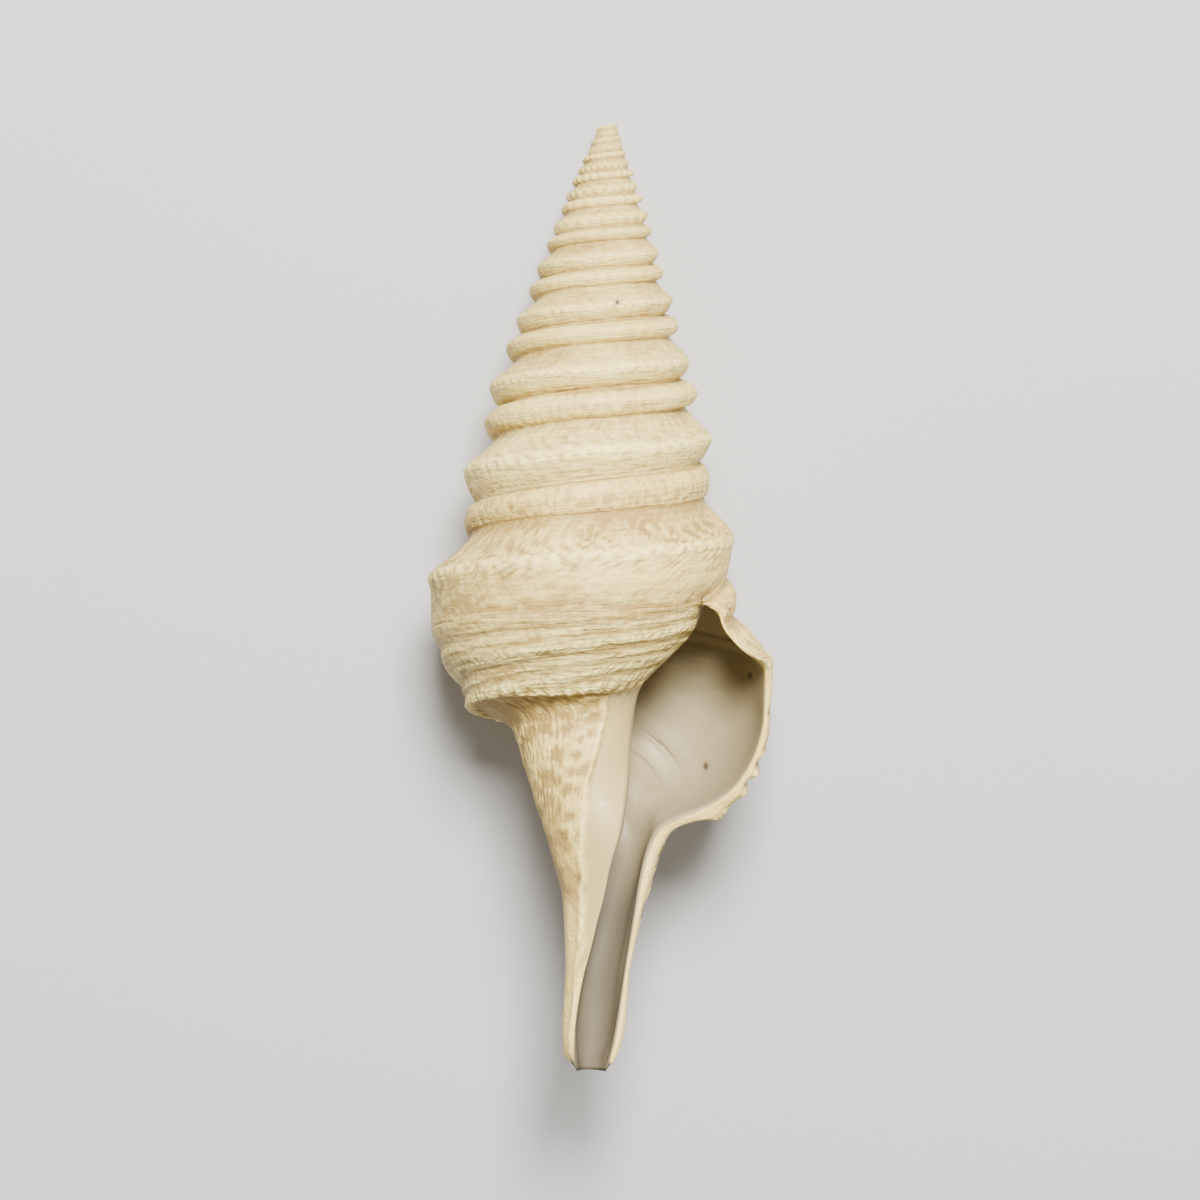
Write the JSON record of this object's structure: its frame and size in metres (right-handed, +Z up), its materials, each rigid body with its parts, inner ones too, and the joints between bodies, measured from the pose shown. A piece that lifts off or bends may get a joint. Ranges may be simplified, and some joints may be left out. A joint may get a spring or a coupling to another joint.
{
  "type": "turrid seashell",
  "caption": "Spindle-shaped sea shell with a tall stepped spire, keeled whorls, an open aperture and a long open canal, lying on its back.",
  "frame": {"origin": "middle of the small flat spot worn on the keel of the last whorl's back, on the surface that the shell lies on", "axes": "+Z up, out of the aperture; +Y along the shell towards the apex; +X towards the outer lip"},
  "size_m": [0.0179, 0.0482, 0.0156],
  "materials": {
    "shell": "matt ivory outside, smooth and faintly glossy inside the aperture"
  },
  "bodies": {
    "root": {"shell": "shell"}
  },
  "joints": []
}
